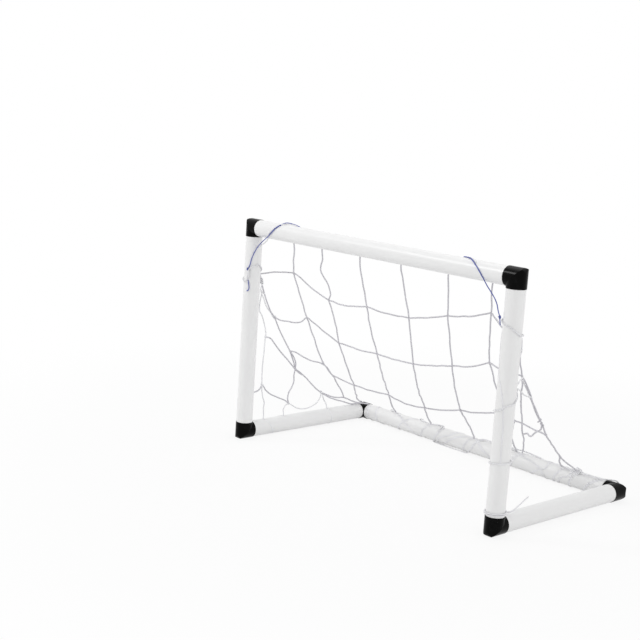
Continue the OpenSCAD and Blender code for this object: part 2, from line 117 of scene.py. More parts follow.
def finish_node(name, material):
    """Gives a CAD node its material."""
    nodes[name].data.materials.clear()
    nodes[name].data.materials.append(material)


for axis, names in (("x", ("crossbar", "rear_bar")), ("y", ("side_tube_left",
        "side_tube_right")), ("z", ("post_left", "post_right"))):
    plastic = extruded_polypropylene(axis)
    for name in names:
        finish_node(name, plastic)

# ---- elbows ----
# Six right-angled elbows of black ABS, injection-moulded in one piece with the ribbed
# spigots that grip the tubes. The mould was polished, so the skin shines, with a faint
# grain from the black filler.
ELBOW_BLACK = "#020202"
ELBOW_SCUFF = "#101011"
SKIN_GRAIN = 0.9         # mm, coarser than real so that it shows
SCUFF = 11.1             # mm, size of the patches that handling has dulled

moulded_abs, tree = new_material("injection_moulded_black_ABS")
place = add_node(tree, "TexCoord")
grain = add_node(tree, "TexNoise", {"Scale": 1000 / SKIN_GRAIN, "Detail": 2.0},
    {"Vector": place.outputs["Object"]})
wear = add_node(tree, "TexNoise", {"Scale": 1000 / SCUFF, "Detail": 5.0, "Roughness": 0.7},
    {"Vector": place.outputs["Object"]})
worn = add_node(tree, "MapRange", {"From Min": 0.52, "From Max": 0.75},
    {"Value": wear.outputs[0]})
black = add_node(tree, "Mix", {6: linear(ELBOW_BLACK), 7: linear(ELBOW_SCUFF)},
    {0: worn.outputs[0]}, data_type="RGBA")
gloss = add_node(tree, "MapRange", {"From Min": 0.3, "From Max": 0.7, "To Min": 0.15,
    "To Max": 0.22}, {"Value": wear.outputs[0]})
relief = add_node(tree, "Bump", {"Strength": 0.03, "Distance": 0.00008},
    {"Height": grain.outputs[0]})
skin = add_node(tree, "BsdfPrincipled", {"IOR": 1.54, "Specular IOR Level": 0.055},
    {"Base Color": black.outputs[2], "Roughness": gloss.outputs[0],
     "Normal": relief.outputs[0]})
add_node(tree, "OutputMaterial", links={"Surface": skin.outputs[0]})
for name in nodes:
    if name.startswith("elbow"):
        finish_node(name, moulded_abs)

# ---- net ----
# One net of white polyester cord, laid up from three yarns and knotted by machine at each
# crossing. Its upper loops hang on the head cord and its lower edge goes round the rear
# bar. All lengths below are in millimetres.
# painted light and shade: the net and its wound cords are one polyester cord, drawn as a greyer
# copy that paints shade on the net's free strands and a lighter copy that paints light on the
# windings, head cord, lacing and side cord
NET_SHADED_WHITE = "#e0dfe4"
# painted shade in the hollows between the net cord's yarns
NET_HOLLOW_SHADE = "#c4c2ca"
WOUND_LIGHTENED_WHITE = "#f7f7f9"    # painted lighter than the net's cord of the same polyester, so that its own shade on the tubes shows less
# painted shade in the hollows between the lighter copy's yarns
WOUND_HOLLOW_SHADE = "#eaeaee"
CORD_R = 1.6            # half the cord's thickness
LAY_PITCH = 8.0          # length of one full turn of the three yarns
RING = 1.0               # distance between two rings of a cord's skin
SIDES = 12               # corners of a cord's section
POST_X, FRONT_Y, REAR_Y, BASE_Z, TOP_Z = 324.0, -166.0, 166.0, 16.8, 421.8
TUBE_R, ELBOW_R, REACH = 16.0, 16.8, 17.5
HEAD_Y = -145.8          # the head cord runs behind the crossbar
LOOP_R = 2.5             # an upper loop's middle goes round the head cord at this radius
LIE_R = TUBE_R + CORD_R + 0.1
PRESSED = 0.65           # how far a tight winding's middle is pressed below the tube's skin
FLOOR_GAP = 0.08
YARN_RELIEF = 0.13       # how far the yarns' backs stand out, as a share of the radius
FIBRE = 0.45             # mm, size of the fuzz, coarser than real so that it shows
SOIL = 28.6              # mm, size of the slightly greyer stretches of a cord

# knots of the net, by row and line, counted from the head and from the left
KNOT = {
    (1, 1): (-266, -110, 338), (1, 2): (-181, -92, 298), (1, 3): (-75, -94, 303),
    (1, 4): (32, -93, 301), (1, 5): (132, -103, 323), (1, 6): (235, -113, 346),
    (2, 0): (-322, -105, 241), (2, 1): (-270, -65, 246), (2, 2): (-198, -42, 207),
    (2, 3): (-92, -41, 206), (2, 4): (3, -41, 206), (2, 5): (108, -53, 225),
    (2, 6): (205, -69, 252), (2, 7): (301, -101, 253),
    (3, 0): (-322, -59, 168), (3, 1): (-301, 43, 112), (3, 2): (-248, 57, 100),
    (3, 3): (-143, 53, 103), (3, 4): (-52, 61, 97), (3, 5): (65, 29, 124),
    (3, 6): (206, 12, 140), (3, 7): (292, -9, 138),
    (4, 0): (-322, -41, 129), (5, 0): (-322, 34, 71), (1, 0): (-324, -147, 330),
    (1, 7): (324, -147, 330)}
# lines, from a loop on the head cord down to the lower edge
HEADS = {1: -240, 2: -160, 3: -57, 4: 46, 5: 156, 6: 253}
LINES = {
    1: [(-236, -138, 402), (-254, -123, 370), (1, 1), (-268, -91, 298), (2, 1),
        (-279, -25, 183), (-295, 9, 143), (3, 1), (-313, 72, 87), (-320, 89, 71),
        (-322, 98, 60), (-322, 102, 52)],
    2: [(-162, -138, 402), (-164, -129, 383), (-179, -121, 364), (-182, -114, 349),
        (-171, -109, 336), (-171, -97, 312), (1, 2), (-184, -69, 253), (2, 2),
        (-213, -4, 158), (3, 2), (-285, 102, 65), (-313, 138, 43), (-324, 158, 35.6)],
    3: [(-62, -136, 397), (-69, -115, 350), (1, 3), (-83, -71, 256), (2, 3),
        (-109, -6, 159), (3, 3), (-186, 110, 63)],
    4: [(44, -139, 403), (39, -119, 359), (1, 4), (20, -70, 255), (2, 4), (-19, -2, 155),
        (3, 4), (-94, 118, 61)],
    5: [(156, -139, 404), (146, -122, 366), (1, 5), (122, -81, 275), (2, 5),
        (91, -21, 177), (3, 5), (27, 106, 73)],
    6: [(251, -137, 400), (243, -125, 373), (1, 6), (220, -93, 300), (2, 6),
        (205, -61, 239), (203, -50, 220), (200, -37, 200), (3, 6), (180, 42, 113),
        (157, 71, 90), (142, 97, 71), (124, 128, 52)]}
FEET = {3: -226, 4: -125, 5: -8, 6: 98}
ROWS = {
    1: [(1, 0), (-310, -138, 333), (-299, -130, 336), (-282, -119, 338), (1, 1),
        (-251, -107, 333), (-235, -102, 321), (-208, -97, 308), (1, 2), (-136, -92, 295),
        (1, 3), (-29, -92, 299), (1, 4), (81, -97, 310), (1, 5), (185, -108, 332), (1, 6),
        (250, -121, 341), (266, -128, 335), (275, -133, 332), (302, -142, 330), (1, 7)],
    2: [(2, 0), (-314, -100, 237), (-297, -88, 235), (-284, -78, 234), (-274, -70, 240),
        (2, 1), (-235, -54, 227), (2, 2), (-140, -40, 204), (2, 3), (-44, -40, 204), (2, 4),
        (48, -45, 212), (2, 5), (154, -59, 234), (2, 6), (218, -73, 250), (231, -78, 249),
        (252, -85, 249), (2, 7)],
    3: [(3, 0), (-316, -44, 164), (-311, -31, 154), (-301, -6, 144), (-295, 8, 141),
        (-297, 27, 126), (3, 1), (-272, 52, 104), (3, 2), (-196, 54, 100), (3, 3),
        (-110, 61, 94), (-75, 65, 93), (3, 4), (-6, 48, 105), (3, 5), (91, 27, 126),
        (127, 17, 135), (164, 8, 144), (188, 8, 145), (3, 6), (233, 7, 140),
        (262, -1, 139), (3, 7)]}
# side edges, from the hung corner to the lower edge
EDGES = {
    0: [(1, 0), (-322, -142, 310), (-322, -132, 284), (-322, -113, 249), (2, 0),
        (-322, -91, 216), (3, 0), (-322, -50, 150), (4, 0), (-322, -23, 117),
        (-322, -1, 99), (-322, 15, 84), (5, 0), (-322, 61, 60), (-322, 79, 54),
        (-322, 102, 51.5), (-322, 115, 46.5), (-321, 127, 40.5), (-318, 139, 37),
        (-314, 151, 35.6), (-305, 159, 35)],
    7: [(1, 7), (318, -135, 311), (310, -123, 288), (2, 7), (302, -90, 239), (303, -77, 218),
        (304, -66, 200), (305, -53, 180), (307, -42, 164), (3, 7), (278, 35, 107),
        (268, 68, 84), (261, 96, 67), (256, 121, 54), (252, 143, 42), (249, 158.5, 34.5)]}
# slack meshes and doubled strands of the two wings, between an edge, its post and the bars
WINGS = [
    [(-322, -125, 202), (-322, -117, 202), (-322, -94, 179), (-322, -71, 156),
        (-322, -46, 133), (-321, -38, 124), (-321, -22, 114)],
    [(3, 0), (-320, -53, 160), (-320, -42, 140), (4, 0)],
    [(-322, -149, 91), (-322, -130, 97), (-322, -127, 104), (-322, -118, 93),
        (-322, -93, 77), (-322, -68, 68), (-322, -53, 57)],
    [(4, 0), (-322, -44, 112), (-322, -44, 96), (-322, -50, 88), (-322, -57, 79),
        (-322, -56, 66), (-322, -53, 57)],
    [(5, 0), (-320.5, 59, 56.5), (-320.5, 77, 50), (-320.5, 101, 42.6), (-320.5, 113, 38.6),
        (-322, 126, 35), (-320, 138, 34.8), (-313, 152, 34.8), (-303, 160, 34.6)],
    [(2, 7), (282, -74, 231), (245, -26, 193), (214, 19, 157), (197, 45, 136),
        (183, 66, 114), (170, 86, 96), (156, 110, 80), (139, 132, 63), (118, 160, 39),
        (115, 162.5, 34.4)],
    [(301, -90, 236), (301, -77, 218), (302, -66, 200), (303, -53, 180), (307, -42, 164),
        (303, -39, 157), (274, -13, 139), (247, 9, 122), (226, 27, 119), (170, 86, 96)],
    [(268, 68, 84), (260, 83, 74), (246, 100, 63), (224, 140, 42), (214, 158, 34.5)]]


def evenly(points, ring):
    """A smooth curve through given points, cut into even steps of about ring."""
    p = np.array(points, float)
    p = np.vstack([2 * p[0] - p[1], p, 2 * p[-1] - p[-2]])
    curve = []
    for a, b, c, d in zip(p, p[1:], p[2:], p[3:]):
        t1 = max(np.linalg.norm(b - a), 1e-6) ** 0.5
        t2 = t1 + max(np.linalg.norm(c - b), 1e-6) ** 0.5
        t3 = t2 + max(np.linalg.norm(d - c), 1e-6) ** 0.5
        t = np.linspace(t1, t2, max(3, int(np.linalg.norm(c - b) / ring) + 2))[:-1, None]
        ab, bc, cd = (a + (b - a) * t / t1, b + (c - b) * (t - t1) / (t2 - t1),
                      c + (d - c) * (t - t2) / (t3 - t2))
        abc = ab + (bc - ab) * t / t2
        bcd = bc + (cd - bc) * (t - t1) / (t3 - t1)
        curve.append(abc + (bcd - abc) * (t - t1) / (t2 - t1))
    curve = np.vstack(curve + [p[-2:-1]])
    along = np.concatenate([[0], np.cumsum(np.linalg.norm(np.diff(curve, axis=0), axis=1))])
    steps = np.linspace(0, along[-1], max(4, round(along[-1] / ring) + 1))
    return np.stack([np.interp(steps, along, curve[:, k]) for k in range(3)], 1)


def off_frame(points, gap):
    """Points that lie in a tube or elbow move out to its skin and gap millimetres more,
    and none goes below the floor."""
    p = points.copy()
    for _ in range(2):
        for k, centre, half in ((0, (FRONT_Y, TOP_Z), POST_X), (0, (REAR_Y, BASE_Z), POST_X),
                (1, (-POST_X, BASE_Z), REAR_Y), (1, (POST_X, BASE_Z), REAR_Y),
                (2, (-POST_X, FRONT_Y), 0), (2, (POST_X, FRONT_Y), 0)):
            low, high = (BASE_Z, TOP_Z) if k == 2 else (-half, half)
            side = [q for q in range(3) if q != k]
            off = p[:, side] - centre
            r = np.maximum(np.linalg.norm(off, axis=1), 1e-6)
            near_end = (p[:, k] < low + REACH) | (p[:, k] > high - REACH)
            want = np.where(near_end, ELBOW_R, TUBE_R) + gap
            inside = (r < want) & (p[:, k] > low) & (p[:, k] < high)
            p[:, side] = np.where(inside[:, None], centre + off * (want / r)[:, None],
                p[:, side])
    p[:, 2] = np.maximum(p[:, 2], FLOOR_GAP)
    return p


def cord_mesh(name, routes, radius, pitch, sides, ring, lie=None, loops=(), yarns=3):
    """One mesh of three-yarn cords, each laid along its route; loops are closed routes. A
    small lie, the height of a cord's middle over a tube, gives it a flat underside.
    The attribute crest is 1 on a yarn's back and 0 in the hollow between two."""
    verts, faces, crests, count = [], [], [], 0
    for route, closed in [(r, False) for r in routes] + [(r, True) for r in loops]:
        p = (np.array(route, float) if closed
            else off_frame(evenly(route, ring), radius if lie is None else lie))
        n = len(p)
        tangent = (np.roll(p, -1, 0) - np.roll(p, 1, 0)) if closed else np.gradient(p, axis=0)
        tangent /= np.maximum(np.linalg.norm(tangent, axis=1), 1e-9)[:, None]
        step = np.linalg.norm(np.diff(p, axis=0), axis=1)
        along = np.concatenate([[0], np.cumsum(step)])
        turn = 2 * math.pi * along / pitch
        if closed:
            whole = along[-1] + np.linalg.norm(p[0] - p[-1])
            turn = 2 * math.pi * along / whole * max(1, round(whole / pitch))
        normal = np.zeros_like(p)
        v = np.cross(tangent[0], (0.3, 0.5, 0.81))
        for k in range(n):
            v = v - tangent[k] * (v @ tangent[k])
            v /= np.linalg.norm(v)
            normal[k] = v
        across = np.cross(tangent, normal)
        if closed:       # the frame's own drift round the loop is spread over it
            last = normal[-1] - tangent[0] * (normal[-1] @ tangent[0])
            drift = math.atan2(last @ across[0], last @ normal[0])
            turn = turn - drift * np.arange(n) / n
        size = np.full(n, radius)
        if not closed:   # the cut ends are rounded
            size[0] = size[-1] = 0.45 * radius
            size[1] = size[-2] = 0.88 * radius
        angle = 2 * math.pi * np.arange(sides) / sides
        shape = 1 - YARN_RELIEF + YARN_RELIEF * np.cos(yarns * angle)
        a = turn[:, None] + angle[None]
        skin = p[:, None] + (size[:, None] * shape)[..., None] * (
            np.cos(a)[..., None] * normal[:, None] + np.sin(a)[..., None] * across[:, None])
        skin = off_frame(skin.reshape(-1, 3), 0.05) if not closed else skin.reshape(-1, 3)
        verts.append(skin)
        crests.append(np.tile(0.5 + 0.5 * np.cos(yarns * angle), n))
        rings = np.arange(n if closed else n - 1)
        k = np.arange(sides)
        a0 = count + rings[:, None] * sides + k[None]
        a1 = count + rings[:, None] * sides + (k[None] + 1) % sides
        up = (rings + 1) % n
        b0 = count + up[:, None] * sides + k[None]
        b1 = count + up[:, None] * sides + (k[None] + 1) % sides
        faces += np.stack([a0, a1, b1, b0], -1).reshape(-1, 4).tolist()
        if not closed:
            faces.append([count + q for q in reversed(range(sides))])
            faces.append([count + (n - 1) * sides + q for q in range(sides)])
        count += n * sides
    mesh = bpy.data.meshes.new(name)
    mesh.from_pydata((np.vstack(verts) * 0.001).tolist(), [], faces)
    mesh.attributes.new("crest", "FLOAT", "POINT").data.foreach_set("value",
        np.concatenate(crests).astype(np.float32))
    mesh.shade_smooth()
    piece = bpy.data.objects.new(name, mesh)
    bpy.context.scene.collection.objects.link(piece)
    return piece


def laid_cord_material(name, crest_hex, hollow_shade_hex, rough):
    """Laid polyester: a matt, slightly fuzzy skin with painted shade in the hollows between the
    yarns.
    """
    material, tree = new_material(name)
    place = add_node(tree, "TexCoord")
    crest = add_node(tree, "Attribute", attribute_name="crest")
    fuzz = add_node(tree, "TexNoise", {"Scale": 1000 / FIBRE, "Detail": 3.0, "Roughness": 0.7},
        {"Vector": place.outputs["Object"]})
    soil = add_node(tree, "TexNoise", {"Scale": 1000 / SOIL, "Detail": 2.0},
        {"Vector": place.outputs["Object"]})
    # painted shade: where crest is low, between the yarns, the colour turns to the hollow colour,
    # broken up by the fuzz
    depth = add_node(tree, "Math", links={0: crest.outputs["Fac"], 1: fuzz.outputs[0]},
        operation="MULTIPLY_ADD")
    depth.inputs[2].default_value = 0.15
    tone = add_node(tree, "MapRange", {"From Min": 0.1, "From Max": 0.6},
        {"Value": depth.outputs[0]})
    yarn = add_node(tree, "Mix", {6: linear(hollow_shade_hex), 7: linear(crest_hex)},
        {0: tone.outputs[0]}, data_type="RGBA")
    shade = add_node(tree, "MapRange", {"From Min": 0.3, "From Max": 0.7, "To Min": 0.94,
        "To Max": 1.0}, {"Value": soil.outputs[0]})
    colour = add_node(tree, "Mix", {0: 1.0}, {6: yarn.outputs[2], 7: shade.outputs[0]},
        data_type="RGBA", blend_type="MULTIPLY")
    relief = add_node(tree, "Bump", {"Strength": 0.5, "Distance": 0.0001},
        {"Height": fuzz.outputs[0]})
    skin = add_node(tree, "BsdfPrincipled", {"IOR": 1.5, "Roughness": rough,
        "Sheen Weight": 0.15, "Sheen Roughness": 0.5},
        {"Base Color": colour.outputs[2], "Normal": relief.outputs[0]})
    add_node(tree, "OutputMaterial", links={"Surface": skin.outputs[0]})
    return material


def place_piece(piece, material, slot, *stands_for):
    """The calls that every soft piece needs."""
    piece.data.materials.append(material)
    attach(piece, "root")
    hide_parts(*stands_for)


def on_rear(x, a, r):
    """On the rear bar; 90 degrees is its top, and 180 faces the mouth."""
    return (x, REAR_Y + r * math.cos(math.radians(a)), BASE_Z + r * math.sin(math.radians(a)))


def wind(*marks, r=TUBE_R - PRESSED):
    """A winding round the rear bar through marks of x, angle and, if it stands off, radius."""
    marks = [(*mark, r)[:3] for mark in marks]
    made = []
    for low, high in zip(marks, marks[1:]):
        n = max(1, round(abs(high[1] - low[1]) / 15))
        made += [on_rear(*(p + (q - p) * k / n for p, q in zip(low, high))) for k in range(n)]
    return made + [on_rear(*marks[-1])]


def round_post(side, a0, a1, z0, z1, radius=LIE_R):
    """A winding round a post, side -1 or 1, from z0 to z1; at -90 degrees it is in front
    and at 90 behind."""
    n = max(4, int(abs(a1 - a0) / 15))
    return [(side * POST_X + radius * math.cos(math.radians(a0 + (a1 - a0) * k / n)),
        FRONT_Y + radius * math.sin(math.radians(a0 + (a1 - a0) * k / n)),
        z0 + (z1 - z0) * k / n) for k in range(n + 1)]


def head_loop(x):
    """A loop of the net over the head cord, from below at its rear to below in front."""
    return [(x + 1.4 * k, HEAD_Y + LOOP_R * math.cos(math.radians(a)),
        TOP_Z + LOOP_R * math.sin(math.radians(a))) for k, a in enumerate(range(-50, 231, 35))]


def knot_loop(centre, size, seed):
    """The tight turns of one knot: a three-lobed closed loop, turned its own way."""
    rng = random.Random(seed)
    spin, tip, lean = (rng.uniform(0, 6.28) for _ in range(3))
    turn = (Matrix.Rotation(spin, 3, "Z") @ Matrix.Rotation(0.5 * math.sin(tip), 3, "X")
        @ Matrix.Rotation(0.5 * math.sin(lean), 3, "Y")
        @ Matrix.Rotation(math.radians(55), 3, "X"))
    turn = np.array(turn)
    t = np.linspace(0, 2 * math.pi, 40, endpoint=False)
    loop = np.stack([np.sin(t) + 1.55 * np.sin(2 * t), np.cos(t) - 1.55 * np.cos(2 * t),
        -np.sin(3 * t)], 1) * size * np.array([1, 1, 0.8])
    return loop @ turn.T + np.array(centre, float)


def wander(points, seed, amount):
    """Small bends, as a limp cord keeps from its packing."""
    rng = random.Random(seed)
    p = evenly(points, 14.0)
    moved = [p[0]]
    for q in p[1:-1]:
        moved.append(q + np.array([rng.uniform(-amount, amount) for _ in range(3)]))
    return moved + [p[-1]]


def spans(route, seed, amount):
    """A route from knot to knot, with small bends between the knots alone."""
    made, part = [], []
    for q in route:
        part.append(KNOT[q] if len(q) == 2 else q)
        if len(q) == 2 and len(part) > 1:
            seed += 1
            made += wander(part, seed, amount)[:-1]
            part = [KNOT[q]]
    if len(part) > 1:
        seed += 1
        made += wander(part, seed, amount)
    else:
        made += part
    return made


net_routes, knots = [], []
for i, route in LINES.items():
    start = head_loop(HEADS[i])
    body = spans(route, 100 * i, 0.7)
    tie_on = (HEADS[i] + 4, -143.5, 412)
    knots.append((tie_on, 1.0))
    net_routes.append(start[::-1] + [tie_on] + [tuple(q) for q in body[1:]]
        + ([on_rear(FEET[i], 95, LIE_R)] if i in FEET else []))
    net_routes.append([tie_on, start[0]])
for i, route in ROWS.items():
    net_routes.append(spans(route, 1000 * i, 0.6))
for i, route in EDGES.items():
    net_routes.append(spans(route, 5000 + 100 * i, 0.4))
for i, route in enumerate(WINGS):
    net_routes.append(spans(route, 7000 + 100 * i, 0.5))
knots += [(c, 1.0) for c in KNOT.values()]
knots += [((-295, 9, 143), 1.0), ((307, -43, 165), 1.9), ((306, -49, 172), 2.3),
    ((301, -79, 221), 1.0)]
# the greyer copy paints shade on the net's strands and knots; the lighter copy paints light on
# the tight cords, so that their shade on the tubes shows less
net_shaded_white = laid_cord_material("laid_white_polyester_cord", NET_SHADED_WHITE, NET_HOLLOW_SHADE, 0.72)
wound_lightened_white = laid_cord_material("laid_white_polyester_cord_painted_lighter", WOUND_LIGHTENED_WHITE,
    WOUND_HOLLOW_SHADE, 0.72)
net = cord_mesh("net_meshes", net_routes, CORD_R, LAY_PITCH, SIDES, RING)
place_piece(net, net_shaded_white, "net_cord", "net")

# the lowest meshes, pulled long and wound round the rear bar from foot to foot, to and fro
# on the right; each winding is two cords side by side, pressed flat on the tube
TIGHT_R = 1.45
BESIDE, SPREAD = 3.6, 1.8     # distance between the two cords of a winding, and its change
windings = [
    ((-304, 105), (-299, 150), (-294, 215), (-290, 250), (-286, 340), (-282, 431),
        (-276, 490), (-268, 576), (-258, 610), (-252, 700), (-247, 790, 18), (-236, 812, 17.5),
        (-226, 815, 17)),
    ((-226, 95), (-212, 115), (-205, 128), (-192, 151), (-178, 172), (-165, 205),
        (-153, 245), (-155, 330), (-163, 425, 17.6), (-158, 436, 18.4), (-148, 455, 17.5),
        (-125, 455)),
    ((-125, 95), (-133, 150), (-140, 215), (-151, 260), (-158, 350), (-168, 440), (-182, 480),
        (-196, 530), (-205, 570), (-211, 620), (-217, 720), (-222, 780), (-226, 815)),
    ((-8, 95), (-15, 130), (-22, 190), (-30, 250), (-38, 340), (-46, 430), (-53, 455),
        (-62, 500), (-80, 530), (-92, 560), (-99, 610), (-106, 700), (-114, 780), (-125, 815)),
    ((-8, 95), (-25, 105), (-45, 140), (-60, 177), (-72, 212), (-85, 250), (-98, 300),
        (-112, 380), (-125, 455)),
    ((-125, 95), (-110, 80, 17.5), (-97, 86, 18.6), (-92, 108, 17.4), (-94, 157),
        (-101, 191), (-106, 235, 17.5), (-90, 235, 18.5), (-60, 240, 19.5), (-33, 240, 19.5),
        (-17, 235, 18), (-10, 216), (0, 175), (3, 140), (6, 112), (14, 92, 18.6),
        (27, 86, 18.6), (42, 70, 17.2), (60, 0), (72, -60), (86, -110), (95, -145),
        (102, -200), (108, -250)),
    ((-8, 95), (6, 118), (15, 146), (24, 167), (38, 190), (48, 225), (58, 290), (66, 380),
        (74, 430), (84, 452, 18), (98, 450, 17.5)),
    ((76, 80, 18.5), (91, 72, 19.2), (104, 72, 19.6), (120, 71, 19.4), (133, 72, 18),
        (143, 75, 17.5), (160, 85), (178, 103)),
    ((98, 90), (112, 113), (136, 136), (147, 144), (158, 154), (170, 175), (177, 215),
        (179, 260), (176, 300), (172, 360), (172, 400), (174, 440), (178, 463), (190, 455),
        (202, 461), (212, 466), (225, 473), (237, 477), (246, 480)),
    ((246, 120), (239, 152), (236, 185), (231, 250), (222, 330), (213, 400), (210, 440),
        (211, 490), (208, 513), (203, 540), (199, 570), (192, 620), (185, 700), (178, 790),
        (180, 873), (169, 890), (155, 918), (146, 945), (136, 1000), (126, 1080), (118, 1150),
        (111, 1190), (98, 1170)),
    ((296, 105), (281, 150), (270, 200), (262, 250), (252, 340), (243, 431), (234, 500),
        (229, 527), (222, 530), (216, 545), (211, 570), (204, 610), (196, 700), (190, 795))]
foot_routes = [
    [(214, 158, 35), (230, 158, 35), (249, 160, 35), (260, 158, 34), (276, 158, 34.5),
        (299, 159, 35), (309, 161, 36), (317, 167, 36), (322, 176, 33), (324, 184, 22)]]
for marks in windings:
    beside = [(x + BESIDE + SPREAD * math.sin(a / 50), a, *r) for x, a, *r in marks]
    foot_routes += [wind(*marks), wind(*beside)]
# each hung corner goes round its post, climbing in front from outside to inside; the left
# one climbs over the tie's loose end
foot_routes.append([q for a0, a1, z0, z1 in ((90, 0, 331, 332), (0, -60, 332, 344.5),
    (-60, -180, 344.5, 355), (-180, -270, 355, 333))
    for q in round_post(1, a0, a1, z0, z1)[1:]])
foot_routes.append([q for a0, a1, z0, z1, r in ((90, 180, 331, 325, 17.2),
    (180, 262, 325, 317, 17.4), (270, 289, 317, 321, 19.3), (290, 292, 323, 340, 19.4),
    (294, 296, 341, 324, 19.4), (298, 299, 323, 341, 19.2), (302, 360, 345, 352, 18),
    (360, 450, 352, 333, 17.2))
    for q in round_post(-1, a0, a1, z0, z1, r)[1:]])
# a strand of the right edge lies down the front of the post, from its corner to the lacing
foot_routes.append([q for a0, a1, z0, z1 in ((-148, -143, 338, 322), (-143, -122, 320, 271),
    (-122, -96, 269, 254), (-96, -74, 253, 233), (-74, -61, 232, 213), (-61, -53, 211, 185),
    (-53, -50, 182, 127))
    for q in round_post(1, a0, a1, z0, z1, TUBE_R - PRESSED)[1:]])
knots += [(on_rear(x, 95, LIE_R + 0.8), 0.9) for x in FEET.values()]
foot_edge = cord_mesh("net_lower_edge", foot_routes, TIGHT_R, LAY_PITCH, SIDES, RING, -PRESSED,
    loops=[knot_loop((249, 158, 37), 2.2, 31), knot_loop((250.5, 156, 35), 1.7, 32)])
place_piece(foot_edge, wound_lightened_white, "net_cord", "net")

KNOT_CORD_R, KNOT_SIZE, KNOT_SIDES = 0.95, 0.72, 8
net_knots = cord_mesh("net_knots", [], KNOT_CORD_R, 6.0, KNOT_SIDES, RING,
    loops=[knot_loop(c, KNOT_SIZE * s, 40 + k) for k, (c, s) in enumerate(knots)])
place_piece(net_knots, net_shaded_white, "net_cord", "net")

# ---- head cord ----
# A straight cord of the same polyester through the net's upper loops. It is held just
# behind the crossbar by the two strings that tie the top corners, and its loose ends lie
# beside them over the crossbar.
HEAD_HALF = 188.0
HEAD_R = 1.2


def on_bar(side, u, a, r):
    """On the crossbar's skin, u in from the post; 0 degrees faces front and 90 up."""
    return (side * (POST_X - u), FRONT_Y - r * math.cos(math.radians(a)),
        TOP_Z + r * math.sin(math.radians(a)))


over_left = [on_bar(-1, u, a, r) for u, a, r in ((129, 165, 18), (123, 140, 17.6),
    (112, 106, 17.4), (95, 86, 17.4), (82.5, 50, 17.4), (77, 30, 17.4), (71, 8, 17.4),
    (63, -12, 17.4))] + [(-270, -177, 406), (-286, -172, 396), (-303, -169, 388),
    (-310.5, -176, 378)]
over_right = [on_bar(1, u, a, r) for u, a, r in ((129, 165, 18), (121, 140, 17.6),
    (110, 106, 17.4), (94, 84, 17.4), (81, 60, 17.4), (77, 48, 17.4))]
head_cord = cord_mesh("head_cord_laid", [[(-HEAD_HALF, HEAD_Y, TOP_Z), (0, HEAD_Y, TOP_Z),
    (HEAD_HALF, HEAD_Y, TOP_Z)], [(-HEAD_HALF, HEAD_Y, TOP_Z)] + over_left,
    [(HEAD_HALF, HEAD_Y, TOP_Z)] + over_right], HEAD_R, LAY_PITCH, SIDES, RING)
place_piece(head_cord, wound_lightened_white, "net_cord", "head_cord")

# ---- lacing ----
# Two cords that hold the net's side edges to the posts. Each starts with tight turns round
# the edge under the net's corner; the right one goes out to the edge and back, then down
# the post, and ends loose at the foot.
LACE_R = 1.25
TURN_PITCH = 3.2


def round_edge(i, start, turns):
    """A tight winding round a side edge of the net, from start mm below its corner."""
    p = evenly(spans(EDGES[i], 5000 + 100 * i, 0.4), 1.0)
    made = []
    for k in range(turns * 8 + 1):
        at = int(start + k * TURN_PITCH / 8)
        along = p[at + 1] - p[at]
        along /= np.linalg.norm(along)
        side = np.cross(along, (0, 0, 1))
        side /= np.linalg.norm(side)
        a = 2 * math.pi * k / 8
        made.append(tuple(p[at] + (CORD_R + LACE_R) * (math.cos(a) * side
            + math.sin(a) * np.cross(along, side))))
    return made


right_lacing = [round_edge(7, 8, 9) + [(324, -147.5, 272), (328, -148, 256)]
    + [(329, -147, 251), (317, -126, 251), (305, -103, 252), (299, -99, 249), (300, -92, 238),
       (301, -83, 225), (303, -79, 217), (308, -81, 216), (315, -109, 225), (326, -135, 238),
       (333, -150.5, 243)]
    + round_post(1, 62, 0, 238, 223) + round_post(1, -8, -55, 222.6, 218)
    + round_post(1, -65, -180, 213.5, 203) + round_post(1, -190, -250, 202, 190)
    + [(318, -147.5, 170), (321, -147, 146)]
    + round_post(1, 70, -50, 127, 125) + round_post(1, -60, -250, 125, 116)
    + [(318, -148, 104), (322, -148, 76)]
    + round_post(1, 90, -620, 42, 37)
    + [(341, -150, 42), (338, -137, 42), (333, -114, 47), (331, -92, 55)]]
lacing_right = cord_mesh("lacing_right_laid", right_lacing, LACE_R, LAY_PITCH, SIDES, RING)
place_piece(lacing_right, wound_lightened_white, "net_cord", "lacing_right")

left_lacing = [round_edge(0, 8, 4)
    + [(-318, -147.5, 299.8), (-320, -137, 280), (-325, -124, 262), (-325, -113, 250),
       (-324, -104, 238), (-320, -102, 238), (-319, -106, 244), (-321, -110, 243)]]
lacing_left = cord_mesh("lacing_left_laid", left_lacing, LACE_R, LAY_PITCH, SIDES, RING)
place_piece(lacing_left, wound_lightened_white, "net_cord", "lacing_left")

# ---- side cord ----
# A slack cord of the left wing: from the post down to the side tube, twice round it, up
# to the net's edge and down to the tube again.
SLACK_R = 1.35


def round_side(y0, y1, a0, a1, radius=TUBE_R - PRESSED):
    """A winding round the left side tube; at 90 degrees it is on top."""
    n = max(4, int(abs(a1 - a0) / 15))
    return [(-POST_X + radius * math.cos(math.radians(a0 + (a1 - a0) * k / n)),
        y0 + (y1 - y0) * k / n,
        BASE_Z + radius * math.sin(math.radians(a0 + (a1 - a0) * k / n)))
        for k in range(n + 1)]


